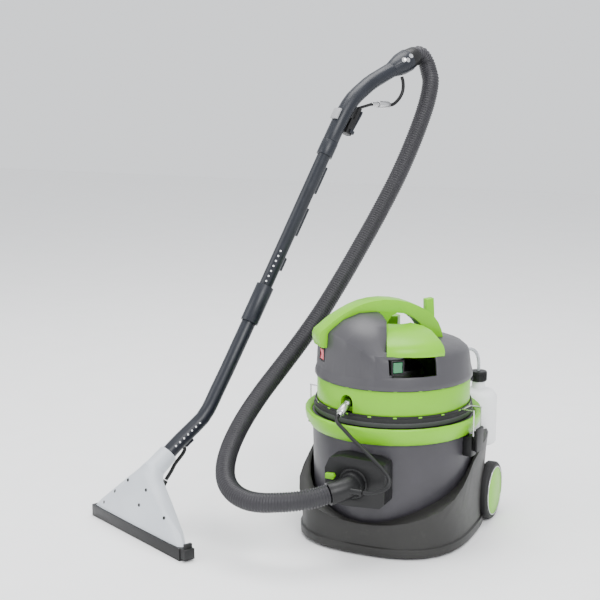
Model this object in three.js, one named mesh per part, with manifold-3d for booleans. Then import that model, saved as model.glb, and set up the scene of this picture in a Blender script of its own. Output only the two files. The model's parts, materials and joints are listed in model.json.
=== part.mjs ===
// Spot extractor: a spray-extraction cleaner with a drum, a lift-off motor head, a wheeled base,
// a ribbed suction hose and a hand wand with a wide nozzle. Millimetres, +Z up, front towards -Y.
import * as THREE from "three";
import { mergeVertices } from "three/addons/utils/BufferGeometryUtils.js";
import Module from "manifold-3d";

const wasm = await Module();
wasm.setup();

// ---- driving dimensions ----
const GAP = 0.3;                 // running gap between touching pieces
const WALL = 3;                  // moulded wall of casings
const SIDES = 36;                // facets round the drum
const TANK_R = 171;              // drum radius at its rim
const TANK_FOOT_R = 165;         // drum radius at its floor
const TANK_FLOOR_Z = 44.5;
const TANK_TOP_Z = 262;
const RIM_R = 186;               // widest radius of the green rim
const GASKET_R = 166;
const BAND_R = 161;              // green band of the motor head
const BAND_Z0 = 285;
const BAND_Z1 = 341;
const COVER_FOOT_R = 165.5;
const COVER_SHOULDER_R = 157;
const COVER_TOP_Z = 420;
const HEAD_TURN = THREE.MathUtils.degToRad(-46);   // the nose's angle from the front, towards -X
const BASE_HALF = 182;           // half width of the skirt at the floor
const BASE_FRONT = 187;
const BASE_REAR = 236;
const BASE_FLOOR_Z = 6;
const CUP_R = 175;               // the base's seat round the drum
const CUP_WALL = 4.5;
const WHEEL = { r: 63, y: 137, x: 176, width: 24, axle: 6 };
const CASTER = { r: 14, x: 100, y: -118, width: 15, trail: 11 };
const BOTTLE = { x: 127, y: 195, r: 42, z0: 150.3, shoulder: 257, neck: 286, cap: 312 };
const INLET = { x: -4, y: -178, z: 160 };
const LATCH_ANGLES = [82, -98];
const HOSE_D = 40;
const SOLUTION_D = 8;
const HEAD_LIFT_CLEAR = 167;     // nothing fixed to the drum stands inside this radius above its rim
const WAND_FOOT = [-461, -283];  // middle of the nozzle's lip on the floor
const WAND_YAW = THREE.MathUtils.degToRad(65);
const LIP_HALF = 168;
const TUBE_R = 16;
const UPPER_R = 15;

// ---- geometry helpers ----
const deg = THREE.MathUtils.degToRad;

// One closed body with merged corners and faces pointing out.
function tidy(geometry) {
  const g = geometry.clone();
  g.deleteAttribute("normal");
  g.deleteAttribute("uv");
  const merged = mergeVertices(g, 1e-4);
  const at = merged.getAttribute("position");
  const faces = [];
  let volume = 0;
  const [a, b, c] = [new THREE.Vector3(), new THREE.Vector3(), new THREE.Vector3()];
  for (let i = 0; i < merged.index.count; i += 3) {
    const f = [merged.index.getX(i), merged.index.getX(i + 1), merged.index.getX(i + 2)];
    if (f[0] === f[1] || f[1] === f[2] || f[2] === f[0]) continue;
    a.fromBufferAttribute(at, f[0]);
    b.fromBufferAttribute(at, f[1]);
    c.fromBufferAttribute(at, f[2]);
    volume += a.dot(b.cross(c));
    faces.push(f);
  }
  merged.setIndex(faces.flatMap((f) => (volume < 0 ? [f[0], f[2], f[1]] : f)));
  return merged;
}

function solid(geometry) {
  const g = tidy(geometry);
  const vertProperties = new Float32Array(g.getAttribute("position").array);
  const triVerts = new Uint32Array(g.index.array);
  return new wasm.Manifold(new wasm.Mesh({ numProp: 3, vertProperties, triVerts }));
}

function geometryOf(manifold) {
  const mesh = manifold.getMesh();
  const g = new THREE.BufferGeometry();
  g.setAttribute("position", new THREE.BufferAttribute(new Float32Array(mesh.vertProperties), 3));
  g.setIndex(new THREE.BufferAttribute(new Uint32Array(mesh.triVerts), 1));
  return g;
}

// first, with the "add" geometries joined to it and the "take" geometries cut away
function carve(first, { add = [], take = [], keep = [] }) {
  let body = solid(first);
  for (const g of add) body = body.add(solid(g));
  for (const g of keep) body = body.intersect(solid(g));
  for (const g of take) body = body.subtract(solid(g));
  return geometryOf(body);
}

// profile: [radius, height] pairs that start and end on the axis, or close on themselves
function lathe(profile, sides = SIDES) {
  const points = profile.map(([r, z]) => new THREE.Vector2(r, z));
  return new THREE.LatheGeometry(points, sides).rotateX(Math.PI / 2);
}

function ring(rIn, rOut, z0, z1, sides = SIDES) {
  return lathe([[rIn, z0], [rOut, z0], [rOut, z1], [rIn, z1], [rIn, z0]], sides);
}

function disc(r, z0, z1, sides = 16) {
  return lathe([[0, z0], [r, z0], [r, z1], [0, z1]], sides);
}

function block(x0, x1, y0, y1, z0, z1) {
  const g = new THREE.BoxGeometry(x1 - x0, y1 - y0, z1 - z0);
  return g.translate((x0 + x1) / 2, (y0 + y1) / 2, (z0 + z1) / 2);
}

// a flat outline in (u, v) pushed along a third direction w; u, v, w are the local x, y, z
function slab(outline, depth) {
  const shape = new THREE.Shape(outline.map(([u, v]) => new THREE.Vector2(u, v)));
  return new THREE.ExtrudeGeometry(shape, { depth, bevelEnabled: false });
}

// an outline in (distance, height) made thick across: local x, z and +-half on y
function upright(outline, half) {
  return slab(outline, 2 * half).rotateX(Math.PI / 2).translate(0, half, 0);
}

function tube(points, r, { sides = 12, steps = 40, tension = 0.5 } = {}) {
  const path = new THREE.CatmullRomCurve3(points.map((p) => new THREE.Vector3(...p)), false,
    "catmullrom", tension);
  const section = new THREE.Shape();
  section.setFromPoints(Array.from({ length: sides }, (_, i) => {
    const t = (2 * Math.PI * i) / sides;
    return new THREE.Vector2(r * Math.cos(t), r * Math.sin(t));
  }));
  return new THREE.ExtrudeGeometry(section, { steps, extrudePath: path, curveSegments: 1 });
}

// a round bar or cone between two points
function bar(from, to, r0, r1 = r0, sides = 14) {
  const a = new THREE.Vector3(...from);
  const b = new THREE.Vector3(...to);
  const g = new THREE.CylinderGeometry(r1, r0, a.distanceTo(b), sides);
  const turn = new THREE.Quaternion().setFromUnitVectors(new THREE.Vector3(0, 1, 0),
    b.clone().sub(a).normalize());
  return g.applyQuaternion(turn).translate(...a.add(b).multiplyScalar(0.5).toArray());
}

// skin over rows of points: every row is a loop of the same count, the ends are capped
function loft(rows) {
  const count = rows[0].length;
  const middle = (row) => [0, 1, 2].map((k) => row.reduce((s, p) => s + p[k], 0) / count);
  const points = [...rows.flat(), middle(rows[0]), middle(rows.at(-1))];
  const index = [];
  for (let j = 0; j < rows.length - 1; j += 1) {
    for (let i = 0; i < count; i += 1) {
      const [p, q] = [j * count + i, j * count + ((i + 1) % count)];
      index.push(p, q, q + count, p, q + count, p + count);
    }
  }
  const low = rows.length * count;
  const last = (rows.length - 1) * count;
  for (let i = 0; i < count; i += 1) {
    const next = (i + 1) % count;
    index.push(low, next, i, low + 1, last + i, last + next);
  }
  const g = new THREE.BufferGeometry();
  g.setAttribute("position", new THREE.Float32BufferAttribute(points.flat(), 3));
  g.setIndex(index);
  return g;
}

// angle a is measured from the front (-Y) towards +X
const polar = (a, r, z = 0) => [r * Math.sin(a), -r * Math.cos(a), z];
const aim = (angle) => new THREE.Matrix4().makeRotationZ(angle);

const finishes = {};
function finish(name, color, roughness, metalness = 0, opacity = 1) {
  finishes[name] = { color, roughness, metalness, opacity, transparent: opacity < 1 };
}
finish("green", 0x7fbf2a, 0.35);
finish("charcoal", 0x5b5a5e, 0.5);
finish("tank_grey", 0x56555b, 0.45);
finish("base_black", 0x3a3936, 0.5);
finish("black", 0x1c1c1e, 0.5);
finish("rubber", 0x19191b, 0.8);
finish("hose_grey", 0x47464a, 0.6);
finish("wand_blue_black", 0x2a2e3a, 0.45);
finish("frosted", 0xdfe3ea, 0.35, 0, 0.8);
finish("white", 0xf0f1ee, 0.5);
finish("clear", 0xd5dcdc, 0.3, 0, 0.6);
finish("red", 0xb8484c, 0.35);
finish("lamp_green", 0x2f6b45, 0.35);
finish("silver", 0xb9bcc0, 0.3, 1);
finish("steel", 0x8d8f92, 0.35, 1);
finish("plate_grey", 0xaab0b6, 0.45);

const machine = new THREE.Group();
const headGroup = new THREE.Group();
const wand = new THREE.Group();
headGroup.rotation.z = HEAD_TURN - Math.PI / 2;
wand.position.set(WAND_FOOT[0], WAND_FOOT[1], 0);
wand.rotation.z = WAND_YAW;

function part(parent, name, geometry, look) {
  const mesh = new THREE.Mesh(tidy(geometry), new THREE.MeshStandardMaterial(finishes[look]));
  mesh.name = name;
  parent.add(mesh);
  return mesh;
}

// ---- base: skirt, axles, casters, wheels ----
// plan radius of a rounded square with half sizes a (across), front and rear
function planRadius(angle, a, front, rear, power) {
  const [s, c] = [Math.abs(Math.sin(angle)), Math.cos(angle)];
  const along = c > 0 ? front : rear;
  return ((s / a) ** power + (Math.abs(c) / along) ** power) ** (-1 / power);
}

// height of the skirt's upper edge: low at the front, high at the sides, level behind
function skirtTop(angle) {
  const turn = Math.abs(angle);
  const front = 66 + 102 * (1 - Math.cos(Math.min(turn, Math.PI / 2)));
  const back = THREE.MathUtils.smoothstep(turn, deg(88), deg(118));
  return front + back * 24;
}

function skirtRows(inset) {
  const rows = [[], [], [], [], [], []];
  const lip = 16;
  const lean = 2.3;
  for (let i = 0; i < SIDES; i += 1) {
    const turn = (360 * i) / SIDES;
    const angle = deg(turn > 180 ? turn - 360 : turn);
    const foot = planRadius(angle, BASE_HALF, BASE_FRONT, BASE_REAR, 2.7) - inset;
    const crown = Math.max(CUP_R + CUP_WALL + 0.5,
      planRadius(angle, 180, CUP_R + CUP_WALL + 0.5, 232, 3.3)) - inset;
    const top = skirtTop(angle) - inset;
    rows[0].push(polar(angle, foot, inset > 0 ? -5 : BASE_FLOOR_Z));
    rows[1].push(polar(angle, foot, BASE_FLOOR_Z + lip));
    rows[2].push(polar(angle, foot - 4, BASE_FLOOR_Z + lip + 2));
    [0.5, 0.8, 1].forEach((v, k) => {
      const z = BASE_FLOOR_Z + lip + 2 + v * (top - BASE_FLOOR_Z - lip - 2);
      rows[3 + k].push(polar(angle, crown + (foot - 4 - crown) * (1 - v ** lean), z));
    });
  }
  return rows;
}

function baseSkirt() {
  const skin = loft(skirtRows(0));
  const hollow = loft(skirtRows(CUP_WALL));
  const cup = carve(disc(CUP_R + CUP_WALL, 38, 260, SIDES), { keep: [loft(skirtRows(0))] });
  const add = [cup];
  const take = [disc(CUP_R, 44, 300, SIDES)];
  const wellX = WHEEL.x - WHEEL.width / 2 - 5;
  for (const side of [-1, 1]) {
    const well = new THREE.CylinderGeometry(WHEEL.r + 5, WHEEL.r + 5, 80, 24).rotateZ(Math.PI / 2);
    take.push(well.translate(side * (wellX + 40), WHEEL.y, WHEEL.r));
    const inner = side * 108;
    const outer = side * (wellX - 1);
    add.push(block(Math.min(inner, outer), Math.max(inner, outer), WHEEL.y - 11, WHEEL.y + 11,
      WHEEL.r - 11, WHEEL.r + 11));
    take.push(bar([side * 120, WHEEL.y, WHEEL.r], [side * 250, WHEEL.y, WHEEL.r],
      WHEEL.axle + GAP / 2));
    add.push(disc(11, 30, 40).translate(side * CASTER.x, CASTER.y, 0));
    take.push(disc(4.3, 20, 37).translate(side * CASTER.x, CASTER.y, 0));
  }
  const well = disc(BOTTLE.r + 4.5, BOTTLE.z0 - 4.5, 210, 24).translate(BOTTLE.x, BOTTLE.y, 0);
  add.push(carve(well, { keep: [loft(skirtRows(0))] }));
  take.push(disc(BOTTLE.r + 0.8, BOTTLE.z0 - 0.3, 260, 24).translate(BOTTLE.x, BOTTLE.y, 0));
  return carve(carve(skin, { take: [hollow] }), { add, take });
}
part(machine, "base_skirt", baseSkirt(), "base_black");

for (const [name, side] of [["left", -1], ["right", 1]]) {
  const outside = side * (WHEEL.x + WHEEL.width / 2);
  const spin = side * Math.PI / 2;
  const rim = WHEEL.r - 11;
  const place = (g) => g.rotateY(spin).translate(side * WHEEL.x, WHEEL.y, WHEEL.r);
  const h = WHEEL.width / 2;
  const tread = lathe([[rim, -h], [WHEEL.r - 4, -h], [WHEEL.r, -h + 4], [WHEEL.r, h - 4],
    [WHEEL.r - 4, h], [rim, h], [rim, -h]], 28);
  part(machine, `tyre_${name}`, place(tread), "rubber");
  const hub = lathe([[WHEEL.axle + GAP, -h], [22, -h], [22, -2], [rim - GAP, -2], [rim - GAP, h],
    [0, h + 1.5], [0, h - 3], [WHEEL.axle + GAP, h - 3], [WHEEL.axle + GAP, -h]], 28);
  part(machine, `wheel_hub_${name}`, place(hub), "green");
  part(machine, `stub_axle_${name}`, bar([side * 121, WHEEL.y, WHEEL.r],
    [outside - side * 3.5, WHEEL.y, WHEEL.r], WHEEL.axle, WHEEL.axle, 14), "steel");

  const [cx, cy] = [side * CASTER.x, CASTER.y];
  const wheelY = cy + CASTER.trail;
  const cheek = CASTER.width / 2 + 1;
  const fork = carve(block(cx - cheek - 2.5, cx + cheek + 2.5, cy - 9, wheelY + 7, 10, 28.5), {
    add: [disc(4, 25, 36).translate(cx, cy, 0), disc(9, 24, 29.5).translate(cx, cy, 0)],
    take: [new THREE.CylinderGeometry(CASTER.r + 1.3, CASTER.r + 1.3, 2 * cheek, 16)
      .rotateZ(Math.PI / 2).translate(cx, wheelY, CASTER.r),
      block(cx - cheek, cx + cheek, wheelY - CASTER.r - 1.3, wheelY + 30, 0, CASTER.r)] });
  const pin = bar([cx - cheek - 1, wheelY, CASTER.r], [cx + cheek + 1, wheelY, CASTER.r], 2.5, 2.5, 12);
  part(machine, `caster_fork_${name}`, carve(fork, { add: [pin] }), "black");
  const roll = ring(2.8, CASTER.r, -CASTER.width / 2, CASTER.width / 2, 16);
  part(machine, `caster_wheel_${name}`, roll.rotateY(Math.PI / 2).translate(cx, wheelY, CASTER.r),
    "rubber");
}

// ---- drum: recovery tank, rim, inlet ----
part(machine, "recovery_tank", carve(lathe([[0, TANK_FLOOR_Z], [TANK_FOOT_R - 6, TANK_FLOOR_Z],
  [TANK_FOOT_R, TANK_FLOOR_Z + 6], [TANK_R, TANK_TOP_Z], [154, TANK_TOP_Z], [154, TANK_TOP_Z - 4],
  [TANK_R - WALL, TANK_TOP_Z - 4], [TANK_FOOT_R - WALL, TANK_FLOOR_Z + 8],
  [TANK_FOOT_R - 8, TANK_FLOOR_Z + WALL], [0, TANK_FLOOR_Z + WALL]]), {
  take: [bar([INLET.x, -100, INLET.z], [INLET.x, -200, INLET.z], 17.5)] }), "tank_grey");
const drumRadius = (z) => TANK_FOOT_R + (TANK_R - TANK_FOOT_R)
  * (z - TANK_FLOOR_Z - 6) / (TANK_TOP_Z - TANK_FLOOR_Z - 6);
part(machine, "tank_rim", lathe([[drumRadius(233) + GAP, 233], [175, 233], [183, 247], [RIM_R, 262],
  [RIM_R, 266], [184, 269], [179, 268], [TANK_R + GAP, 262], [drumRadius(233) + GAP, 233]]),
"green");

function inletShroud() {
  const outline = [[-62, 128], [-64, 186], [-54, 208], [-30, 214], [40, 212], [61, 206],
    [64, 198], [64, 126], [54, 116], [-20, 112], [-46, 116]];
  const front = upright(outline, 22).translate(0, INLET.y - 12, 0);
  return carve(front, { take: [disc(drumRadius(INLET.z) + 4, 0, 300),
    bar([INLET.x, -100, INLET.z], [INLET.x, -260, INLET.z], 32, 32, 24),
    disc(CUP_R + CUP_WALL + 1.5, 0, 130, SIDES)] });
}
part(machine, "inlet_shroud", inletShroud(), "black");
const inletEnd = INLET.y - 34;
part(machine, "inlet_collar", carve(bar([INLET.x, -174, INLET.z], [INLET.x, inletEnd, INLET.z],
  31.6, 31.6, 24),
  { add: [bar([INLET.x, -150, INLET.z], [INLET.x, -180, INLET.z], 17, 17, 16)],
    take: [bar([INLET.x, -140, INLET.z], [INLET.x, -240, INLET.z], 14, 14, 16),
      disc(drumRadius(INLET.z) + 0.5, 100, 200, SIDES)] }), "black");

// ---- hose elbow and hoses ----
const elbowPath = [[INLET.x, inletEnd - 6, INLET.z], [INLET.x - 2, inletEnd - 17, 158.5],
  [-17, -244, 154], [-34, -260, 150]];
const elbowSpigot = bar([INLET.x, inletEnd - GAP, INLET.z], [INLET.x, inletEnd - 13, INLET.z], 28, 24);
const fittingEnds = [[31.6, -246.5, 158], [0, -246.5, 158]];
part(machine, "hose_elbow", carve(tube(elbowPath, 23, { sides: 16, steps: 7 }),
  { add: [elbowSpigot, bar(...fittingEnds, 6, 6, 14)] }), "black");

// the ribbed suction hose, from the elbow round to the wand's cuff
const suctionRoute = [[-34.5, -260.5, 149.9], [-57.3, -282, 144.5], [-87, -300, 140], [-119, -310, 136],
  [-152, -315, 132], [-187, -312, 131], [-221, -300, 136], [-249, -280, 148], [-268, -252, 166],
  [-280, -215, 188], [-286, -170, 214], [-285, -120, 245], [-277, -62, 282], [-262, 0, 324],
  [-243, 62, 372], [-222, 124, 428], [-200, 186, 494], [-177, 247, 566], [-152, 303, 642],
  [-126, 354, 724], [-104, 398, 808], [-89, 431, 882], [-86.7, 452.7, 933],
  [-94.9, 462.2, 958.3], [-103, 466, 979], [-112.5, 459, 995.5], [-120.7, 446.8, 998.8],
  [-123.2, 441.5, 996.2]];
part(machine, "suction_hose", tube(suctionRoute, HOSE_D / 2, { sides: 8, steps: 56 }), "hose_grey");
// the thin solution hose, from the quick coupler down to the elbow's fitting
const solutionRoute = [[-48.1, -179.6, 286.7], [-49.7, -185.4, 282.8], [-44, -193, 275], [-28, -198, 264],
  [-8, -204, 250], [17, -211, 235], [44, -219, 218], [67, -225, 202], [79, -230, 191],
  [83, -234, 182], [80, -239, 173.5], [71, -243.5, 167], [56, -246.5, 162], [42, -246.5, 159],
  [32, -246.5, 158]];
part(machine, "solution_hose", tube(solutionRoute, SOLUTION_D / 2, { sides: 8, steps: 24 }), "black");

// the tab that locks the elbow's collar: it slides away from the collar to free the hose
function releaseTab() {
  const tab = slab([[-9, -5], [8, -6], [11, 0], [8, 6], [-9, 5]], 9).rotateX(Math.PI / 2);
  return tab.translate(-50, INLET.y - 34 - GAP, 172);
}
part(machine, "release_tab", releaseTab(), "green");

// ---- tonic bottle in its well on the rear deck ----
const bottleAt = (g) => g.translate(BOTTLE.x, BOTTLE.y, 0);
part(machine, "bottle", bottleAt(lathe([[0, BOTTLE.z0], [BOTTLE.r - 4, BOTTLE.z0],
  [BOTTLE.r, BOTTLE.z0 + 4], [BOTTLE.r, BOTTLE.shoulder], [34, BOTTLE.shoulder + 12],
  [15, BOTTLE.shoulder + 17], [14, BOTTLE.neck], [14, BOTTLE.cap - 5], [11, BOTTLE.cap - 5],
  [11, BOTTLE.shoulder + 14], [BOTTLE.r - 3, BOTTLE.shoulder - 2], [BOTTLE.r - 3, BOTTLE.z0 + 6],
  [0, BOTTLE.z0 + 3]], 18)), "white");
part(machine, "bottle_cap", bottleAt(lathe([[14 + GAP, BOTTLE.neck + 4], [18, BOTTLE.neck + 4],
  [18, BOTTLE.cap], [4.5, BOTTLE.cap], [4.5, BOTTLE.cap - 4], [14 + GAP, BOTTLE.cap - 4],
  [14 + GAP, BOTTLE.neck + 4]], 16)), "black");

// ---- latches: bracket on the drum, lever on the bracket, wire bail on the lever ----
const LATCH = { half: 15, bracketR: 189, pinR: 193, pinZ: 206, leverR: 199, bailZ: 238, hookZ: 289 };
function latchPieces(name, angle) {
  const group = new THREE.Group();
  group.rotation.z = deg(angle) - Math.PI / 2;
  machine.add(group);
  const drum = disc(drumRadius(220) + 1, 150, 300, SIDES);
  part(group, `latch_bracket_${name}`, carve(block(160, LATCH.bracketR, -12, 12, 190, 231.5), {
    add: [block(LATCH.bracketR - 3, LATCH.pinR, -4.5, 4.5, LATCH.pinZ - 5, LATCH.pinZ + 5),
      bar([LATCH.pinR, -4.5, LATCH.pinZ], [LATCH.pinR, 4.5, LATCH.pinZ], 5.5, 5.5, 16)],
    take: [drum, bar([LATCH.pinR, -20, LATCH.pinZ], [LATCH.pinR, 20, LATCH.pinZ], 2.6, 2.6, 12)],
  }), "black");
  const cheeks = [-1, 1].map((s) => block(LATCH.pinR - 2.5, LATCH.leverR + 3, s > 0 ? 5.2 : -9.2,
    s > 0 ? 9.2 : -5.2, LATCH.pinZ - 2.5, 244));
  const lever = upright([[LATCH.leverR, LATCH.pinZ - 3], [LATCH.leverR + 4, LATCH.pinZ - 3],
    [LATCH.leverR + 4, 250], [LATCH.leverR, 252]], LATCH.half);
  part(group, `latch_lever_${name}`, carve(lever, { add: [...cheeks,
    bar([LATCH.pinR, -7, LATCH.pinZ], [LATCH.pinR, 7, LATCH.pinZ], 2.2, 2.2, 12)],
  take: [bar([LATCH.pinR + 2, -20, LATCH.bailZ], [LATCH.pinR + 2, 20, LATCH.bailZ], 1.9, 1.9, 12)] }),
  "black");
  const wire = 1.6;
  const rail = LATCH.half + 2.5;
  const bail = [[LATCH.pinR + 2, -rail, LATCH.bailZ], [LATCH.pinR + 2, rail, LATCH.bailZ]];
  const top = [[HEAD_LIFT_CLEAR + 3, -rail, LATCH.hookZ], [HEAD_LIFT_CLEAR + 3, rail, LATCH.hookZ]];
  const legs = [-1, 1].flatMap((s) => [
    bar([LATCH.pinR + 2, s * rail, LATCH.bailZ - wire], [LATCH.pinR + 2, s * rail, LATCH.hookZ + wire],
      wire, wire, 8),
    bar([LATCH.pinR + 3.4, s * rail, LATCH.hookZ], [HEAD_LIFT_CLEAR + 1.5, s * rail, LATCH.hookZ],
      wire, wire, 8)]);
  part(group, `latch_bail_${name}`, carve(bar(...bail, wire, wire, 8),
    { add: [bar(...top, wire, wire, 8), ...legs] }), "silver");
}
LATCH_ANGLES.forEach((angle, i) => latchPieces(["right", "left"][i], angle));

// ---- motor head: gasket, band, cover, handle ----
part(machine, "head_gasket", ring(148, GASKET_R, TANK_TOP_Z + GAP, BAND_Z0 - GAP), "rubber");
const COUPLER_ANGLE = deg(-15);
const atCoupler = (g) => g.applyMatrix4(aim(COUPLER_ANGLE - Math.PI / 2));
const bandShell = carve(disc(BAND_R, BAND_Z0, BAND_Z1, SIDES), {
  take: [disc(BAND_R - WALL, BAND_Z0 + 4, 400, SIDES), disc(34, 200, 400, 24)] });
part(machine, "head_band", carve(bandShell, {
  add: [atCoupler(block(138, 157, -19, 19, BAND_Z0 + 2, BAND_Z0 + 42))],
  take: [atCoupler(block(142, 200, -15, 15, BAND_Z0 - 5, BAND_Z0 + 24)),
    atCoupler(bar([130, 0, BAND_Z0 + 24], [200, 0, BAND_Z0 + 24], 15))] }), "green");

// solid outline of the cover, grown outwards
function coverShape(grow, base = BAND_Z1 + GAP, facets = 30) {
  const dome = lathe([[0, base], [COVER_FOOT_R + grow, base], [COVER_FOOT_R + grow, base + 9],
    [162 + grow, 362], [COVER_SHOULDER_R + 1 + grow, 394], [154 + grow, 405 + grow],
    [145, 412 + grow], [100, 418 + grow], [0, COVER_TOP_Z + grow]], facets);
  const at = dome.getAttribute("position");
  for (let i = 0; i < at.count; i += 1) {
    if (at.getZ(i) > 380) at.setZ(i, at.getZ(i) + 0.045 * at.getX(i) * (at.getZ(i) > 400 ? 1 : 0.5));
  }
  const hump = new THREE.SphereGeometry(1, facets - 12, 10);
  hump.scale(112 + grow, 132 + grow, 101 + grow).translate(68, 0, 380);
  const reach = 200;
  const back = 43 - grow;
  const wedge = slab([[back, -60], [back + 56, -reach], [reach, -reach], [reach, reach],
    [back + 56, reach], [back, 60]], 300).translate(0, 0, base);
  const wall = lathe([[0, base], [163 + grow, base], [160 + grow, 400], [153 + grow, 500],
    [0, 500]], facets);
  return carve(dome, { add: [carve(hump, { keep: [wedge, wall] })] });
}
const RED = { x: 157, z: 392, halfY: 14, halfZ: 15 };
const GREEN_SWITCH = { x: 54, y: 143, z: 388, halfX: 17, halfZ: 15 };
const motorCover = carve(coverShape(0), { take: [coverShape(-WALL, BAND_Z1 - 2, 24),
  block(-25, 78, GREEN_SWITCH.y, 200, 368, 409),
  block(RED.x - 5, 200, -RED.halfY - GAP, RED.halfY + GAP, RED.z - RED.halfZ - GAP,
    RED.z + RED.halfZ + GAP),
  block(GREEN_SWITCH.x - GREEN_SWITCH.halfX - GAP, GREEN_SWITCH.x + GREEN_SWITCH.halfX + GAP,
    130, 200, GREEN_SWITCH.z - GREEN_SWITCH.halfZ - GAP, GREEN_SWITCH.z + GREEN_SWITCH.halfZ + GAP)] });
part(headGroup, "motor_cover", motorCover, "charcoal");

function spline(points, count) {
  const curve = new THREE.SplineCurve(points.map(([x, y]) => new THREE.Vector2(x, y)));
  return curve.getPoints(count).map((p) => [p.x, p.y]);
}

function carryHandle() {
  const outer = spline([[-104, 396], [-100, 425], [-84, 456], [-54, 479], [-13, 495], [33, 501],
    [76, 496], [112, 482], [140, 466], [160, 451], [172, 441], [174, 426], [169, 410]], 22);
  const inner = spline([[36, 396], [33, 430], [24, 454], [10, 470], [-10, 470], [-30, 461],
    [-48, 447], [-59, 428], [-62, 396]], 12);
  const saddle = upright([...outer, ...inner], 22);
  const visor = lathe([[40, 398], [152, 398], [154, 412], [150, 423], [138, 433], [104, 446],
    [40, 452], [40, 398]]);
  const plan = [[76, 142], [80, 200], [-60, 200], [-44, 128], [-40, 60], [-10, 15], [35, 15], [43, 60]];
  const ledges = [1, -1].map((side) => carve(visor,
    { keep: [slab(plan.map(([s, t]) => [s, side * t]), 200).translate(0, 0, 350)] }));
  const trim = slab([[-120, -200], [200, -200], [200, 200], [-120, 200]], 40).translate(0, 0, 360);
  return carve(saddle, { add: ledges, take: [coverShape(GAP), trim] });
}
part(headGroup, "carry_handle", carryHandle(), "green");
part(headGroup, "rear_hook", carve(upright([[-108, 390], [-86, 390], [-84, 486], [-102, 488]], 8)
  .translate(0, -33, 0), { take: [coverShape(GAP)] }), "green");

// rocker switches: a housing with a pocket and a rocker that tips in it
function rockerPair(name, look, place) {
  const housing = carve(block(-8, 4, -13.6, 13.6, -14.6, 14.6),
    { take: [block(-3, 10, -10.5, 10.5, -11.8, 11.8)] });
  const rocker = upright([[-1, -10.5], [4.2, -10.5], [2.4, 0], [4.2, 10.5], [-1, 10.5]], 9.8);
  part(headGroup, `${name}_housing`, place(housing), "black");
  part(headGroup, `${name}_rocker`, place(rocker), look);
}
rockerPair("vacuum_switch", "red", (g) => g.translate(RED.x, 0, RED.z));
rockerPair("pump_switch", "lamp_green", (g) => g.rotateZ(Math.PI / 2)
  .translate(GREEN_SWITCH.x, GREEN_SWITCH.y, GREEN_SWITCH.z));

// ---- inside the head ----
part(machine, "vacuum_motor", lathe([[0, 308], [58, 308], [62, 314], [62, 356], [44, 362],
  [44, 392], [18, 396], [0, 396]], 18), "steel");
part(machine, "impeller", carve(disc(56, 292, 295, 18), {
  add: [disc(14, 290, 304, 16), ...Array.from({ length: 6 }, (_, i) =>
    block(12, 54, -1.2, 1.2, 294, 303).applyMatrix4(aim(deg(60 * i))))] }), "silver");
part(machine, "pump_body", carve(block(82, 132, -24, 24, 292, 334), {
  add: [bar([120, -24, 312], [120, -46, 312], 9)] }), "black");
// the ball rises with the water until it closes the seat: its travel is FLOAT.seatZ less the
// height at which a ball of radius r sits in a hole of radius seatR, less its rest height
const FLOAT = { r: 21, z: 221, seatR: 16, seatZ: 272 };
part(machine, "float_cage", carve(disc(30, 196, BAND_Z0 - GAP, 20), {
  add: [disc(44, BAND_Z0 - 5, BAND_Z0 - GAP, 20)],
  take: [disc(25.5, 199, FLOAT.seatZ, 20), disc(FLOAT.seatR, FLOAT.seatZ - 2, 300, 20),
    ...[0, 90].map((turn) =>
      block(-60, 60, -12, 12, 205, 265).applyMatrix4(aim(deg(turn))))] }), "black");
part(machine, "float_ball", new THREE.SphereGeometry(FLOAT.r, 14, 9).rotateX(Math.PI / 2)
  .translate(0, 0, FLOAT.z), "white");

// the outlet nipple of the pump and the quick coupler that plugs onto it
const couplerTilt = deg(-33);
const couplerFrame = (g) => g.rotateY(-couplerTilt + Math.PI / 2)
  .translate(150, 0, BAND_Z0 + 25).applyMatrix4(aim(COUPLER_ANGLE - Math.PI / 2));
part(machine, "coupler_plug", couplerFrame(carve(disc(5.5, 0, 42, 16), {
  add: [disc(7.5, 5, 11.5, 16)] })), "steel");
part(machine, "coupler_sleeve", couplerFrame(ring(5.9, 8.8, 15, 36, 18)), "silver");
const glandAngle = deg(134);
part(machine, "cable_gland", bar(polar(glandAngle, BAND_R + GAP, 312), polar(glandAngle, 184, 312),
  9, 6, 16), "black");
const tubeAngle = Math.atan2(BOTTLE.x, -BOTTLE.y);
part(machine, "bottle_tube", tube([polar(tubeAngle, 169, 352), polar(tubeAngle, 184, 362),
  polar(tubeAngle, 206, 365), polar(tubeAngle, 223, 356), polar(tubeAngle, 231.5, 338),
  polar(tubeAngle, 232.7, BOTTLE.cap + 1)], 3.8, { sides: 8, steps: 12 }), "clear");

// ---- hand wand: x runs back from the lip, y along the lip, z up ----
const V = { x: 577.6, z: 875.6 };            // middle of the valve, on the tube's centre line
const JOINT = { x: 322, z: 458.5 };        // where the two tubes meet
const tubeSlope = Math.atan2(V.z - JOINT.z, V.x - JOINT.x);
// a piece modelled along x with z out of the tube's upper side, set on the tube at a point
const onTube = (g, at, slope = tubeSlope) => g.rotateY(-slope).translate(at.x, 0, at.z);
const flat = (list) => list.map(([x, z]) => [x, 0, z]);

const endBlock = carve(block(-9, 15, -LIP_HALF - 16, -LIP_HALF + 1, 4, 26), {
  add: [block(-2, 15, -LIP_HALF - 8, -LIP_HALF - 1, 20, 34)] });
part(wand, "nozzle_lip", carve(block(-12, 12, -LIP_HALF, LIP_HALF, 0, 26), {
  add: [endBlock], take: [block(-4, 4, -LIP_HALF + 8, LIP_HALF - 8, -5, 40)] }), "black");

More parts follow.
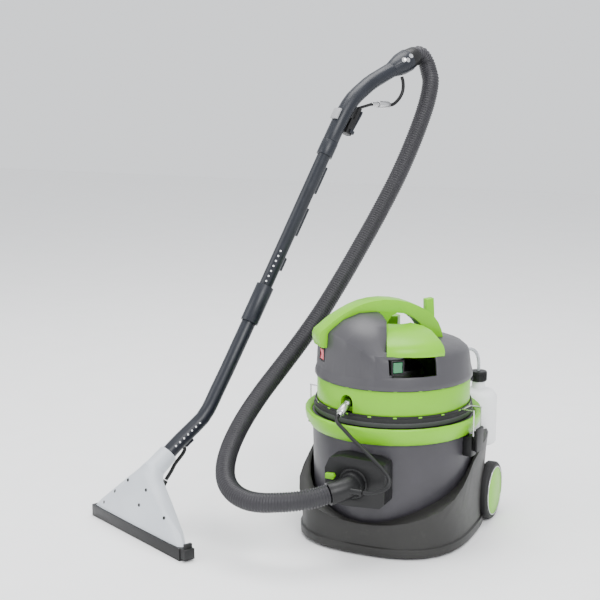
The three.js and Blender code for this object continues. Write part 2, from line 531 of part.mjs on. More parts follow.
// rows of the fan from the lip to the neck: [x, z, half width, half depth]
function fanRows(inset) {
  const plan = [[2, 26.3, 166, 12], [8, 44, 146, 15], [20, 88, 84, 19], [32, 126, 34, 22],
    [44, 140, 23, 23]];
  return plan.map(([x, z, half, depth], j) => {
    const lean = [0, 0.1, 0.25, 0.5, 0.75][j];
    const row = [];
    for (let i = 0; i < 12; i += 1) {
      const t = (2 * Math.PI * i) / 12;
      const power = j < 3 ? 0.35 : [0.6, 1][j - 3];
      const c = Math.sign(Math.cos(t)) * Math.abs(Math.cos(t)) ** power;
      const s = Math.sign(Math.sin(t)) * Math.abs(Math.sin(t)) ** power;
      const out = (depth - inset) * s;
      row.push([x + out * Math.cos(lean), (half - inset) * c, z - out * Math.sin(lean)
        - (inset && !j ? 3 : 0)]);
    }
    return row;
  });
}
const neck = bar([38, 0, 134], [80, 0, 165.5], 23, 20.5, 16);
part(wand, "nozzle_shell", carve(loft(fanRows(0)), { add: [neck], take: [loft(fanRows(3)),
  bar([34, 0, 131], [54, 0, 146], 17, 17, 16),
  bar([53, 0, 145.3], [95, 0, 176.8], TUBE_R + 1, TUBE_R + 1, 16)] }),
"frosted");

const lowerPath = flat([[54.4, 146.3], [100, 180.5], [140, 206], [170, 226], [190, 249], [206, 275],
  [240, 327], [281, 393], [JOINT.x - 0.1, JOINT.z - 0.2]]);
const onLine = (x) => JOINT.z + (x - JOINT.x) * Math.tan(tubeSlope);
const upperEnd = { x: 534, z: onLine(534) };
// raised bars moulded along the tubes' undersides: where, how steep, how long
const underBar = (x, z, r, length, slope = tubeSlope) => onTube(
  block(-length / 2, length / 2, -6, 6, -r - 5.5, -r + 4), { x, z }, slope);
const upperBars = [[377, 31], [432, 68], [487, 66]].map(([x, length]) =>
  underBar(x, onLine(x), UPPER_R, length));
part(wand, "lower_tube", carve(tube(lowerPath, TUBE_R, { sides: 12, steps: 18 }), {
  add: [underBar(122, 194.5, TUBE_R, 22, deg(32.6))] }), "wand_blue_black");
part(wand, "upper_tube", carve(bar([JOINT.x + 0.3, 0, JOINT.z + 0.5], [upperEnd.x, 0, upperEnd.z],
  UPPER_R, UPPER_R, 20), { add: [...upperBars,
  onTube(bar([-36, 0, 0], [-0.2, 0, 0], 18.5, 18.5, 20), upperEnd)] }), "wand_blue_black");
part(wand, "joint_sleeve", onTube(ring(TUBE_R + 1.2, 20, -44, 44, 16).rotateY(Math.PI / 2),
  { x: JOINT.x - 0.5, z: JOINT.z - 0.8 }), "wand_blue_black");
const gripPath = flat([[upperEnd.x + 0.3, upperEnd.z + 0.5], [551, 832], [570, 861], [586, 882],
  [605, 901], [630, 918], [657.6, 934.9], [696.2, 952], [720.7, 962.4], [738, 969.9]]);
const cuffSlope = deg(23.1);
const cuffAxis = (d) => [799 + d * Math.cos(cuffSlope), 0, 996 + d * Math.sin(cuffSlope)];
part(wand, "grip_tube", carve(tube(gripPath, 18, { sides: 12, steps: 14 }), {
  add: [bar(cuffAxis(-84), cuffAxis(-52), 18, 26, 24), bar(cuffAxis(-52), cuffAxis(-28), 26, 27, 24)] }),
"wand_blue_black");
part(wand, "hose_cuff", bar(cuffAxis(-27.7), cuffAxis(-0.3), 25.5, 22.5, 24), "black");

// trigger valve under the grip, its lever, and the vacuum relief slide on top
part(wand, "valve_body", carve(onTube(block(-46, 22, -11, 11, -37, -28), V), {
  take: [onTube(bar([-38, -20, -33], [-38, 20, -33], 2.6, 2.6, 12), V)],
  add: [onTube(block(-46, -10, -11, 11, -29, -20.5), V),
    bar([616, 0, 876.5], [659.6, 0, 885.2], 3.5, 3.5, 10)] }), "black");
part(wand, "trigger", carve(onTube(upright([[-46, -41], [-32, -42], [13, -46.5], [19, -45.5], [19, -42],
  [13, -42], [-30, -39], [-46, -38.5]], 8), V), {
  add: [...[-1, 1].map((s) => onTube(block(-42, -34, s > 0 ? 11.4 : -14, s > 0 ? 14 : -11.4, -42, -29), V)),
    onTube(block(-42, -34, -14, 14, -42, -38.2), V),
    onTube(bar([-38, -12, -33], [-38, 12, -33], 2.2, 2.2, 12), V)] }), "wand_blue_black");
part(wand, "relief_slide", onTube(carve(block(-34, -8, -11, 11, 16.2, 21), {
  take: [bar([-60, 0, 0], [60, 0, 0], 17.9, 17.9, 20)] }), V), "plate_grey");

// the solution line runs inside the tubes and comes out under the lower one, to the spray jet
const pipePath = flat([[121.2, 169.8], [122, 165], [117, 157], [106, 147], [96, 138], [86, 124],
  [72, 108]]);
part(wand, "solution_pipe", tube(pipePath, 4, { sides: 8, steps: 14 }), "black");
part(wand, "spray_jet", carve(bar([70, 0, 107], [55, 0, 88], 7, 7, 14), {
  add: [bar([55, 0, 88], [44, 0, 66], 4.5, 3, 14)], take: [bar([90, 0, 130], [67, 0, 103], 4.4, 4.4, 10),
    loft(fanRows(-0.4))] }), "black");

// short solution hose from the collar to the wand's own quick coupler
const wandHoseRoute = flat([[757, 946.5], [761, 936], [762, 922], [759, 910], [750.5, 898], [739, 888.5],
  [728, 883.2], [717.4, 882.3]]);
part(wand, "wand_solution_hose", tube(wandHoseRoute, SOLUTION_D / 2, { sides: 8, steps: 14 }), "black");
part(wand, "wand_coupler", bar([661.4, 0, 885.2], [716.9, 0, 882.4], 5.4, 5.4, 14), "steel");
part(wand, "wand_coupler_sleeve", ring(5.8, 9, -16, 16, 18).rotateY(Math.PI / 2 + deg(2.9))
  .translate(697, 0, 883.4), "silver");

machine.add(headGroup, wand);

// origin: on the floor, under the middle of everything but the free hoses
const freeHoses = ["suction_hose", "solution_hose", "wand_solution_hose"];
machine.updateMatrixWorld(true);
const footprint = new THREE.Box3();
machine.traverse((piece) => {
  if (piece.isMesh && !freeHoses.includes(piece.name)) footprint.expandByObject(piece, true);
});
const middle = footprint.getCenter(new THREE.Vector3());
machine.position.set(-middle.x, -middle.y, 0);
const row = new THREE.Group();
row.add(machine);
export default row;
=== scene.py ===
import json
import math

import bpy
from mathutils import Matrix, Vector


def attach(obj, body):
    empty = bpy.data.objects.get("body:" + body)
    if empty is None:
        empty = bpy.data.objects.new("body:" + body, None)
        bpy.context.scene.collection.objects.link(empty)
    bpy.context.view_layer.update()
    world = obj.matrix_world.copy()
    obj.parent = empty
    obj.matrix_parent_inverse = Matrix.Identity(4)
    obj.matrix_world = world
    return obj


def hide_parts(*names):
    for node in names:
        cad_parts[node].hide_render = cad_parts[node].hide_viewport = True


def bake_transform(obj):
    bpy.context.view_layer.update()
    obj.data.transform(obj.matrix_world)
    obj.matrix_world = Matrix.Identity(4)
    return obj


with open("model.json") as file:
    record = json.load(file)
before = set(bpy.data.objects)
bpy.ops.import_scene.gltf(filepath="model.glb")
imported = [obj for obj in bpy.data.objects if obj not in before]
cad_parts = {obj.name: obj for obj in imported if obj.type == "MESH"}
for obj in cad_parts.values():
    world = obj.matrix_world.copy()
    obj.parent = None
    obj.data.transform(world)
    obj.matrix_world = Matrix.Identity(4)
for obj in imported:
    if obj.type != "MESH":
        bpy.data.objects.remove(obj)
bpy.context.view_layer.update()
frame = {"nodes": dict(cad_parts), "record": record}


# ---------------------------------------------------------------- studio
# A plain pale floor, three broad soft lamps and an even pale room. The camera stands to the right
# of the machine, a little above the wand's grip.
AXIS = Vector((0.20761, -0.04219, 0.0))      # the drum's own axis, where every round part is centred

bpy.ops.object.select_all(action="DESELECT")
bpy.ops.object.camera_add(location=(1.0962, -2.4135, 0.9803),
                          rotation=(math.radians(79.109), 0, math.radians(25)))
camera = bpy.context.object
camera.data.lens = 74.1
camera.data.sensor_width = 36
bpy.context.scene.camera = camera


def softbox(name, place, target, size, watts):
    bpy.ops.object.light_add(type="AREA", location=place)
    lamp = bpy.context.object
    lamp.name = name
    lamp.data.shape = "DISK"
    lamp.data.size = size
    lamp.data.energy = watts
    lamp.rotation_euler = (Vector(target) - Vector(place)).to_track_quat("-Z", "Y").to_euler()


softbox("key_lamp", (2.4, -2.6, 3.0), (0.1, 0.0, 0.4), 2.2, 150)
softbox("fill_lamp", (-2.6, -2.2, 2.0), (0.0, 0.0, 0.4), 2.6, 60)
softbox("top_lamp", (-0.2, 0.4, 3.4), (0.0, 0.0, 0.3), 2.4, 110)

room = bpy.data.worlds.new("room")
room.use_nodes = True
room.node_tree.nodes["Background"].inputs["Color"].default_value = (0.95, 0.97, 1.0, 1)
room.node_tree.nodes["Background"].inputs["Strength"].default_value = 1.25
bpy.context.scene.world = room


class Signal:
    """A shader socket that takes part in sums: each sum adds its Math node to the material."""

    def __init__(self, tree, socket):
        self.tree = tree
        self.socket = socket

    def node(self, kind, inputs=None, output=0, **settings):
        """Adds a node of this kind, sets it up, joins its inputs and gives the chosen output."""
        made = self.tree.nodes.new(kind)
        for key, value in settings.items():
            setattr(made, key, value)
        for key, value in (inputs or {}).items():
            if isinstance(value, Signal):
                self.tree.links.new(value.socket, made.inputs[key])
            else:
                made.inputs[key].default_value = value
        return Signal(self.tree, made.outputs[output])

    def sum(self, operation, first, second):
        return self.node("ShaderNodeMath", {0: first, 1: second}, operation=operation)

    def __add__(self, other):
        return self.sum("ADD", self, other)

    __radd__ = __add__

    def __mul__(self, other):
        return self.sum("MULTIPLY", self, other)

    __rmul__ = __mul__

    def __sub__(self, other):
        return self.sum("SUBTRACT", self, other)

    def __rsub__(self, other):
        return self.sum("SUBTRACT", other, self)

    def clamped(self, low, high):
        """Stretches the band from low to high over 0 to 1."""
        return self.node("ShaderNodeMapRange", {"Value": self, "From Min": low, "From Max": high})


def finish(slot, colour, roughness, worn, grain=1400, depth=0.00012, mottle=0.12, scuffs=0.25, **fixed):
    """A moulded or metal surface: cloudy colour, rubbed patches, faint scratches and a fine grain.

    colour and worn are the clean and the rubbed colour, grain is the texture's fineness per metre,
    depth its height in metres, and fixed sets the shader's own sockets."""
    material = bpy.data.materials.new(slot + "_finish")
    material.use_nodes = True
    material["slot"] = slot
    tree = material.node_tree
    shader = tree.nodes["Principled BSDF"]
    place = Signal(tree, tree.nodes.new("ShaderNodeTexCoord").outputs["Object"])
    cloud = place.node("ShaderNodeTexNoise", {"Vector": place, "Scale": 9.0, "Detail": 4.0})
    patch = place.node("ShaderNodeTexNoise", {"Vector": place, "Scale": 38.0, "Detail": 6.0,
                                              "Roughness": 0.62})
    stretched = place.node("ShaderNodeMapping", {"Vector": place, "Rotation": (0.5, 0.3, 0.7),
                                                 "Scale": (1.0, 14.0, 1.0)})
    scratch = place.node("ShaderNodeTexNoise", {"Vector": stretched, "Scale": 70.0, "Detail": 3.0})
    speck = place.node("ShaderNodeTexNoise", {"Vector": place, "Scale": float(grain), "Detail": 2.0})
    rubbed = patch.clamped(0.56, 0.74) * scuffs + scratch.clamped(0.66, 0.74) * (scuffs * 0.6)
    shade = cloud.clamped(0.32, 0.68)
    dim = tuple(c * (1 - mottle) for c in colour)
    bright = tuple(min(1.0, c * (1 + mottle)) for c in colour)
    clean = place.node("ShaderNodeMix", {"Factor": shade, 6: (*dim, 1), 7: (*bright, 1)}, 2,
                       data_type="RGBA")
    shown = place.node("ShaderNodeMix", {"Factor": rubbed, 6: clean, 7: (*worn, 1)}, 2,
                       data_type="RGBA")
    rough = roughness + (patch - 0.5) * 0.16 + rubbed * 0.12
    bump = place.node("ShaderNodeBump", {"Strength": 0.55, "Distance": depth, "Height": speck})
    tree.links.new(shown.socket, shader.inputs["Base Color"])
    tree.links.new(rough.socket, shader.inputs["Roughness"])
    tree.links.new(bump.socket, shader.inputs["Normal"])
    for socket, value in fixed.items():
        shader.inputs[socket.replace("_", " ")].default_value = value
    return material


floor_finish = finish("floor", (0.93, 0.93, 0.93), 0.7, (0.92, 0.92, 0.92), mottle=0.01, scuffs=0.03)
bpy.ops.mesh.primitive_plane_add(size=14, location=(0, 0, 0))
floor = bpy.context.object
floor.name = "studio_floor"
floor.data.materials.append(floor_finish)


# ---------------------------------------------------------------- suction hose
# A 40 mm corrugated vacuum hose of soft grey plastic. It joins the elbow at the drum's inlet, swings
# out low beside the drum, climbs behind it and ends in the wand's cuff.
def on_machine(points):
    """Points given in millimetres from the drum's axis, moved to the shared frame in metres."""
    return [AXIS + Vector(p) / 1000 for p in points]


def smooth_route(points, steps):
    """A smooth run through the points, each span cut in equal steps."""
    padded = [2 * points[0] - points[1], *points, 2 * points[-1] - points[-2]]
    run = []
    for i in range(1, len(padded) - 2):
        before, start, end, after = padded[i - 1:i + 3]
        leave = (end - before) / 2
        arrive = (after - start) / 2
        for k in range(steps):
            t = k / steps
            run.append((2 * t**3 - 3 * t**2 + 1) * start + (t**3 - 2 * t**2 + t) * leave
                       + (3 * t**2 - 2 * t**3) * end + (t**3 - t**2) * arrive)
    return run + [points[-1]]


def spaced(run, gap):
    """The same line with its points an even gap apart."""
    total = sum((b - a).length for a, b in zip(run, run[1:]))
    count = max(2, round(total / gap))
    out, walked, want = [run[0]], 0.0, total / count
    for a, b in zip(run, run[1:]):
        step = (b - a).length
        while walked + step >= want * len(out) - 1e-9 and len(out) < count:
            out.append(a.lerp(b, (want * len(out) - walked) / step))
        walked += step
    return out + [run[-1]], total


def hose_mesh(name, line, radii, sides):
    """A closed tube on the line, its radius at each point from the repeating list."""
    rings, across = [], None
    for i, centre in enumerate(line):
        along = (line[min(i + 1, len(line) - 1)] - line[max(i - 1, 0)]).normalized()
        across = along.orthogonal() if across is None else across - along * across.dot(along)
        across.normalize()
        up = along.cross(across)
        r = radii[i % len(radii)]
        rings.append([centre + (across * math.cos(a) + up * math.sin(a)) * r
                      for a in (2 * math.pi * k / sides for k in range(sides))])
    verts = [v for ring in rings for v in ring] + [line[0], line[-1]]
    faces = [(i * sides + k, i * sides + (k + 1) % sides, (i + 1) * sides + (k + 1) % sides,
              (i + 1) * sides + k) for i in range(len(line) - 1) for k in range(sides)]
    last = (len(line) - 1) * sides
    faces += [(len(verts) - 2, (k + 1) % sides, k) for k in range(sides)]
    faces += [(len(verts) - 1, last + k, last + (k + 1) % sides) for k in range(sides)]
    mesh = bpy.data.meshes.new(name)
    mesh.from_pydata(verts, [], faces)
    piece = bpy.data.objects.new(name, mesh)
    bpy.context.scene.collection.objects.link(piece)
    only(piece)
    bpy.ops.object.shade_smooth()
    return piece


def only(piece):
    """Makes the piece the one selected and active object."""
    bpy.ops.object.select_all(action="DESELECT")
    piece.select_set(True)
    bpy.context.view_layer.objects.active = piece


def dress(piece, material):
    """Gives the piece its material and the finish slot that goes with it."""
    piece.data.materials.clear()
    piece.data.materials.append(material)
    return piece


HOSE_R = 0.020
RIB = 0.0058                                  # from one corrugation to the next

hose_grey = finish("hose_grey", (0.020, 0.019, 0.023), 0.46, (0.05, 0.049, 0.055), scuffs=0.25,
                   Specular_IOR_Level=0.4)
suction_line, suction_length = spaced(smooth_route(on_machine([
    (-34.5, -260.5, 149.9), (-57.3, -282, 144.5), (-87, -300, 140), (-119, -310, 136), (-152, -315, 132),
    (-187, -312, 131), (-221, -300, 136), (-249, -280, 148), (-268, -252, 166), (-280, -215, 188),
    (-286, -170, 214), (-285, -120, 245), (-277, -62, 282), (-262, 0, 324), (-243, 62, 372),
    (-222, 124, 428), (-200, 186, 494), (-177, 247, 566), (-152, 303, 642), (-126, 354, 724),
    (-104, 398, 808), (-89, 431, 882), (-86.7, 452.7, 933), (-94.9, 462.2, 958.3), (-103, 466, 979),
    (-112.5, 459, 995.5), (-120.7, 446.8, 998.8), (-123.2, 441.5, 996.2)]), 24), RIB / 4)
suction = dress(hose_mesh("suction_hose_ribbed", suction_line,
                          [HOSE_R - 0.0023, HOSE_R - 0.0009, HOSE_R + 0.0002, HOSE_R - 0.0009], 28),
                hose_grey)
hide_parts("suction_hose")
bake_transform(suction)


# ---------------------------------------------------------------- solution hoses
# Smooth 8 mm black pressure hose. One piece drops from the head's coupler to the fitting under the
# inlet elbow. A short one joins the wand's valve to the coupler beside the cuff.
SOLUTION_R = 0.004

black_hose = finish("black", (0.0055, 0.0055, 0.006), 0.42, (0.02, 0.02, 0.021), scuffs=0.2,
                    Specular_IOR_Level=0.35)
solution_line, solution_length = spaced(smooth_route(on_machine([
    (-48.1, -179.6, 286.7), (-49.7, -185.4, 282.8), (-44, -193, 275), (-28, -198, 264), (-8, -204, 250),
    (17, -211, 235), (44, -219, 218), (67, -225, 202), (79, -230, 191), (83, -234, 182),
    (80, -239, 173.5), (71, -243.5, 167), (56, -246.5, 162), (42, -246.5, 159),
    (32, -246.5, 158)]), 12), 0.002)
solution = dress(hose_mesh("solution_hose_smooth", solution_line, [SOLUTION_R], 20), black_hose)
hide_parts("solution_hose")
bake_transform(solution)

WAND_FOOT = Vector((-461, -283, 0))
WAND_RUN = Vector((0.42262, 0.90631, 0))       # the way the wand leans, seen from above
WAND_SIDE = Vector((-0.90631, 0.42262, 0))


def on_wand(x, y, z):
    """A point x mm along the wand's lean, y mm to its left and z mm up, in the shared frame."""
    return on_machine([WAND_FOOT + WAND_RUN * x + WAND_SIDE * y + Vector((0, 0, z))])[0]


wand_line, wand_hose_length = spaced(smooth_route([on_wand(x, 0, z) for x, z in (
    (757, 946.5), (761, 936), (762, 922), (759, 910), (750.5, 898), (739, 888.5), (728, 883.2),
    (717.4, 882.3))], 12), 0.002)
wand_hose = dress(hose_mesh("wand_hose_smooth", wand_line, [SOLUTION_R], 20), black_hose)
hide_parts("wand_solution_hose")
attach(wand_hose, "wand")


# ---------------------------------------------------------------- base skirt
# One deep skirt of moulded black plastic that carries the drum, the bottle, the wheels and the
# casters. Its edges are rounded as a mould leaves them.
def body_of(node):
    return next(b for b, nodes in frame["record"]["behaviour"]["bodies"].items() if node in nodes)


def mould(node, material, edge=0.0010, crease=34, join=True):
    """The CAD node's shape with its facets joined, its sharp edges rounded and its bends shaded
    smooth. edge is the rounding in metres and crease the least angle that gets it. Faces with a
    window cut in them keep their facets, with join off."""
    cad = frame["nodes"][node]
    piece = bpy.data.objects.new(node + "_moulded", cad.data.copy())
    bpy.context.scene.collection.objects.link(piece)
    only(piece)
    bpy.ops.object.mode_set(mode="EDIT")
    bpy.ops.mesh.select_all(action="SELECT")
    bpy.ops.mesh.remove_doubles(threshold=0.00002)
    if join:
        bpy.ops.mesh.dissolve_limited(angle_limit=math.radians(0.6))
    bpy.ops.object.mode_set(mode="OBJECT")
    if edge:
        bevel = piece.modifiers.new("rounding", "BEVEL")
        bevel.width = edge
        bevel.segments = 2
        bevel.limit_method = "ANGLE"
        bevel.angle_limit = math.radians(crease)
        bpy.ops.object.modifier_apply(modifier="rounding")
    bpy.ops.object.shade_smooth_by_angle(angle=math.radians(crease))
    dress(piece, material)
    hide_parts(node)
    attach(piece, body_of(node))
    return piece


def settle(name):
    """Names the piece just made and leaves its place in its mesh, with its object at the origin."""
    bpy.ops.object.transform_apply(location=True, rotation=True, scale=True)
    bpy.context.object.name = name
    return bpy.context.object


base_black = finish("base_black", (0.0150, 0.0145, 0.0135), 0.46, (0.04, 0.039, 0.036), scuffs=0.3,
                    Specular_IOR_Level=0.4)
mould("base_skirt", base_black, 0.0016)


# ---------------------------------------------------------------- wheels and casters
# Two big moulded wheels turn on steel stub axles at the back, each with a bright ring pressed in
# where the green hub meets the tyre. Twin casters swivel at the front.
WHEEL_FACE = 0.1883                           # the wheel's outer face, from the drum's axis
WHEEL_BACK = 0.137
WHEEL_UP = 0.063
TRIM_R = 0.0523
TRIM_WIRE_R = 0.0011

rubber = finish("rubber", (0.010, 0.010, 0.0105), 0.6, (0.04, 0.039, 0.037), scuffs=0.35,
                Specular_IOR_Level=0.35)
green = finish("green", (0.170, 0.480, 0.004), 0.36, (0.21, 0.50, 0.02), scuffs=0.15, mottle=0.05,
               Specular_IOR_Level=0.35)
steel = finish("steel", (0.55, 0.55, 0.56), 0.3, (0.4, 0.39, 0.38), Metallic=1.0)
silver = finish("silver", (0.62, 0.62, 0.63), 0.28, (0.5, 0.5, 0.5), Metallic=1.0)
black = black_hose
for side in ("left", "right"):
    mould("tyre_" + side, rubber, 0.0014)
    mould("wheel_hub_" + side, green, 0.0010)
    mould("stub_axle_" + side, steel, 0)
    mould("caster_fork_" + side, black, 0.0006)
    mould("caster_wheel_" + side, rubber, 0.0008)
    reach = -WHEEL_FACE if side == "left" else WHEEL_FACE
    bpy.ops.object.select_all(action="DESELECT")
    bpy.ops.mesh.primitive_torus_add(major_segments=96, minor_segments=10, major_radius=TRIM_R,
                                     minor_radius=TRIM_WIRE_R,
                                     location=AXIS + Vector((reach, WHEEL_BACK, WHEEL_UP)),
                                     rotation=(0, math.pi / 2, 0))
    trim = settle("wheel_trim_" + side)
    bpy.ops.object.shade_smooth()
    dress(trim, silver)
    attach(trim, "wheel_" + side)


# ---------------------------------------------------------------- recovery drum
# A moulded grey plastic drum that stands in the skirt's cup, with a lime-green rim round its mouth.
# The dirty water collects in it.
tank_grey = finish("tank_grey", (0.036, 0.034, 0.040), 0.42, (0.065, 0.062, 0.072), scuffs=0.2,
                   Specular_IOR_Level=0.45)
mould("recovery_tank", tank_grey, 0.0012)
mould("tank_rim", green, 0.0016)


# ---------------------------------------------------------------- inlet
# A black moulded shroud on the drum's front, with a collar that takes the hose's elbow and a small
# green tab beside it that frees the hose.
mould("inlet_shroud", black, 0.0016)
mould("inlet_collar", black, 0.0010)
mould("hose_elbow", black, 0.0008)
mould("release_tab", green, 0.0005)


# ---------------------------------------------------------------- solution bottle
# A white plastic bottle of cleaning solution in a well on the skirt's rear deck, with a ribbed black
# cap. A clear tube runs from it to the head.
white = finish("white", (0.82, 0.83, 0.84), 0.45, (0.6, 0.6, 0.6), scuffs=0.12, mottle=0.04)
clear = finish("clear", (0.55, 0.57, 0.6), 0.22, (0.6, 0.6, 0.6), mottle=0.05, scuffs=0.1,
               Transmission_Weight=0.55)
mould("bottle", white, 0.0016)
mould("bottle_cap", black, 0.0006)

BOTTLE_AT = AXIS + Vector((0.127, 0.195, 0.0))
CAP_R = 0.018
CAP_MIDDLE_Z = 0.301
CAP_RIBS = 36
RIB_R = 0.0009
RIB_HEIGHT = 0.018
bpy.ops.object.select_all(action="DESELECT")
ribs = []
for k in range(CAP_RIBS):
    turn = 2 * math.pi * k / CAP_RIBS
    place = Vector((CAP_R * math.cos(turn), CAP_R * math.sin(turn), CAP_MIDDLE_Z))
    bpy.ops.mesh.primitive_cylinder_add(vertices=8, radius=RIB_R, depth=RIB_HEIGHT,
                                        location=BOTTLE_AT + place)
    ribs.append(bpy.context.object)
for rib in ribs:
    rib.select_set(True)
bpy.ops.object.join()
cap_ribs = settle("bottle_cap_ribs")
rounding = cap_ribs.modifiers.new("rounding", "BEVEL")
rounding.width = 0.0004
bpy.ops.object.modifier_apply(modifier="rounding")
bpy.ops.object.shade_smooth_by_angle(angle=math.radians(40))
dress(cap_ribs, black)
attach(cap_ribs, "bottle_lid")
mould("bottle_tube", clear, 0)


# ---------------------------------------------------------------- latches
# A latch on each side holds the head down: a black bracket on the drum, a black lever that turns
# on it, and a bright wire bail that turns on the lever.
for side in ("right", "left"):
    mould("latch_bracket_" + side, black, 0.0006)
    mould("latch_lever_" + side, black, 0.0010)
    mould("latch_bail_" + side, silver, 0.0004)


# ---------------------------------------------------------------- motor head
# The lift-off head: a black gasket, a lime-green band with the hose coupler in its front, and a
# satin charcoal cover with a green carry handle and hook, and one switch on each face.
charcoal = finish("charcoal", (0.046, 0.0445, 0.050), 0.40, (0.08, 0.078, 0.086), scuffs=0.15, mottle=0.06,
                  Specular_IOR_Level=0.45)
mould("head_gasket", rubber, 0.0012)
mould("head_band", green, 0.0012)
mould("motor_cover", charcoal, 0.0016, join=False)
mould("carry_handle", green, 0.0016)
mould("rear_hook", green, 0.0010)
mould("vacuum_switch_housing", black, 0.0010)
mould("pump_switch_housing", black, 0.0010)
mould("cable_gland", black, 0.0006)
mould("coupler_plug", steel, 0.0003)
mould("coupler_sleeve", silver, 0.0004)


def hoop(name, radius, low, high, wall, material, body):
    """A thin band around the drum's axis, low to high in metres, its wall built outwards."""
    bpy.ops.object.select_all(action="DESELECT")
    bpy.ops.mesh.primitive_cylinder_add(vertices=144, radius=radius, depth=high - low,
                                        end_fill_type="NOTHING",
                                        location=AXIS + Vector((0, 0, (low + high) / 2)))
    band = settle(name)
    thick = band.modifiers.new("wall", "SOLIDIFY")
    thick.thickness = wall
    thick.offset = 1
    bpy.ops.object.modifier_apply(modifier="wall")
    rounding = band.modifiers.new("rounding", "BEVEL")
    rounding.width = 0.0004
    rounding.limit_method = "ANGLE"
    bpy.ops.object.modifier_apply(modifier="rounding")
    bpy.ops.object.shade_smooth_by_angle(angle=math.radians(35))
    dress(band, material)
    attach(band, body)
    return band


# Shadow gaps above and below the band, and the glossy strip round the gasket.
BAND_R = 0.1612
hoop("band_gap_upper", BAND_R, 0.3395, 0.3428, 0.0012, black, "head")
hoop("band_gap_lower", BAND_R, 0.2845, 0.2892, 0.0030, black, "head")
hoop("gasket_strip", 0.1659, 0.2672, 0.2762, 0.0012, charcoal, "head")


# Small moulded tabs stand in the shadow gaps, at even turns round the band.
TAB_SIZE = (0.0022, 0.0075, 0.0030)


def tabs(name, radius, height, count, start, material, body):
    """A ring of small rounded blocks about the drum's axis."""
    made = []
    for k in range(count):
        turn = math.radians(start + 360 * k / count)
        bpy.ops.object.select_all(action="DESELECT")
        place = Vector((radius * math.cos(turn), radius * math.sin(turn), height))
        bpy.ops.mesh.primitive_cube_add(size=1, rotation=(0, 0, turn), location=AXIS + place)
        bpy.context.object.scale = TAB_SIZE
        made.append(bpy.context.object)
    for block in made:
        block.select_set(True)
    bpy.ops.object.join()
    ring = settle(name)
    rounding = ring.modifiers.new("rounding", "BEVEL")
    rounding.width = 0.0006
    rounding.segments = 2
    bpy.ops.object.modifier_apply(modifier="rounding")
    bpy.ops.object.shade_smooth_by_angle(angle=math.radians(50))
    dress(ring, material)
    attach(ring, body)
    return ring


tabs("band_tabs_upper", 0.1620, 0.3412, 20, 4, green, "head")
tabs("band_tabs_lower", 0.1638, 0.2868, 20, 4, green, "head")

lamp_green = finish("lamp_green", (0.02, 0.16, 0.06), 0.25, (0.06, 0.26, 0.12), scuffs=0.1,
                    Coat_Weight=0.3)
red = finish("red", (0.62, 0.06, 0.09), 0.28, (0.7, 0.18, 0.2), scuffs=0.1, Coat_Weight=0.3)
mould("vacuum_switch_rocker", red, 0.0008)
mould("pump_switch_rocker", lamp_green, 0.0008)


# ---------------------------------------------------------------- inside the head
# The vacuum motor with its fan, the solution pump, and the float in its cage, which hangs in the
# drum. They are plain forms, as they are hardly seen.
mould("vacuum_motor", steel, 0.0006)
mould("impeller", silver, 0.0003)
mould("pump_body", black, 0.0006)
mould("float_cage", black, 0.0003)
mould("float_ball", white, 0)


# ---------------------------------------------------------------- wand
# Two dark tubes joined by a sleeve, a bent grip with its trigger valve and relief slide, and a
# wide nozzle moulded in frosted plastic. The hose's cuff turns on the grip's end.
wand_blue = finish("wand_blue_black", (0.0075, 0.0095, 0.0150), 0.38, (0.025, 0.029, 0.040), scuffs=0.2,
                   Specular_IOR_Level=0.4)
frosted = finish("frosted", (0.74, 0.78, 0.83), 0.36, (0.8, 0.83, 0.86), mottle=0.05, scuffs=0.15,
                 Transmission_Weight=0.35)
plate_grey = finish("plate_grey", (0.30, 0.30, 0.31), 0.4, (0.4, 0.4, 0.4), scuffs=0.2)
mould("nozzle_lip", black, 0.0008)
mould("nozzle_shell", frosted, 0.0014)
for node in ("lower_tube", "upper_tube", "joint_sleeve", "grip_tube"):
    mould(node, wand_blue, 0.0006)
mould("valve_body", black, 0.0008)
mould("trigger", wand_blue, 0.0006)
mould("relief_slide", plate_grey, 0.0005)
mould("solution_pipe", black, 0)
mould("spray_jet", black, 0.0004)
mould("wand_coupler", steel, 0.0003)
mould("wand_coupler_sleeve", silver, 0.0004)
mould("hose_cuff", black, 0.0010)


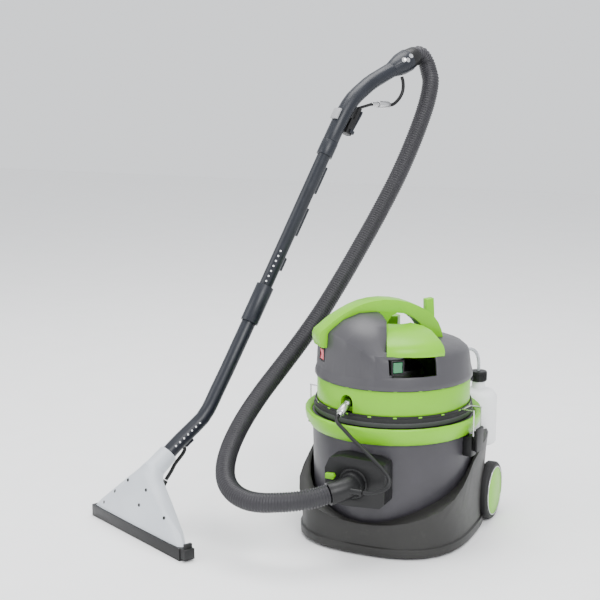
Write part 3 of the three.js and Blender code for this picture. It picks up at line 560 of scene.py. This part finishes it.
# ---------------------------------------------------------------- screws and rivets on the wand
# Six dark screws in the nozzle's frosted face, a row of seven small pale plugs along each tube, and
# three bright rivets by the cuff. Each sits square to the surface under it.
def studs(name, node, points, radius, height, socket, material):
    """Round heads on the moulded piece, each where it is nearest to a point, with or without a socket."""
    bpy.context.view_layer.update()
    shell = bpy.data.objects[node + "_moulded"]
    made = []
    for point in points:
        _, spot, normal, _ = shell.closest_point_on_mesh(point)
        bpy.ops.object.select_all(action="DESELECT")
        bpy.ops.mesh.primitive_cylinder_add(vertices=20, radius=radius, depth=2 * height, location=spot,
                                            rotation=normal.to_track_quat("Z", "Y").to_euler())
        head = bpy.context.object
        if socket:
            head.data.polygons.foreach_set("select", [f.normal.z > 0.9 for f in head.data.polygons])
            bpy.ops.object.mode_set(mode="EDIT")
            bpy.ops.mesh.select_mode(type="FACE")
            bpy.ops.mesh.inset(thickness=radius * 0.5)
            bpy.ops.transform.translate(value=-normal * height * 0.8)
            bpy.ops.object.mode_set(mode="OBJECT")
        made.append(head)
    for head in made:
        head.select_set(True)
    bpy.ops.object.join()
    joined = settle(name)
    rounding = joined.modifiers.new("rounding", "BEVEL")
    rounding.width = height * 0.4
    rounding.segments = 2
    rounding.limit_method = "ANGLE"
    bpy.ops.object.modifier_apply(modifier="rounding")
    bpy.ops.object.shade_smooth_by_angle(angle=math.radians(40))
    dress(joined, material)
    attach(joined, "wand")
    return joined


def row_of(first, last, count):
    """Points an even step apart, from the first to the last."""
    return [first.lerp(last, k / (count - 1)) for k in range(count)]


studs("nozzle_screws", "nozzle_shell", [on_wand(*p) for p in (
    (-6.1, 126.4, 40.9), (0.5, 90.2, 74.4), (7.1, 46.9, 109.3), (5.6, -25.0, 107.0), (-2.2, -8.7, 71.4),
    (-0.8, -99.9, 69.1))], 0.0036, 0.0009, True, black)
studs("lower_tube_plugs", "lower_tube",
      row_of(on_wand(90.0, -14.0, 182.4), on_wand(152.6, -14.4, 221.1), 7), 0.0021, 0.0007, False, white)
studs("upper_tube_plugs", "upper_tube",
      row_of(on_wand(339.4, -9.9, 508.4), on_wand(379.6, -11.1, 571.3), 7), 0.0021, 0.0007, False, white)
studs("cuff_rivets", "grip_tube", [on_wand(742.3, -21.2, 985.7), on_wand(752.1, -24.5, 985.7),
                                   on_wand(763.1, -23.1, 994.9)], 0.0055, 0.0012, True, silver)
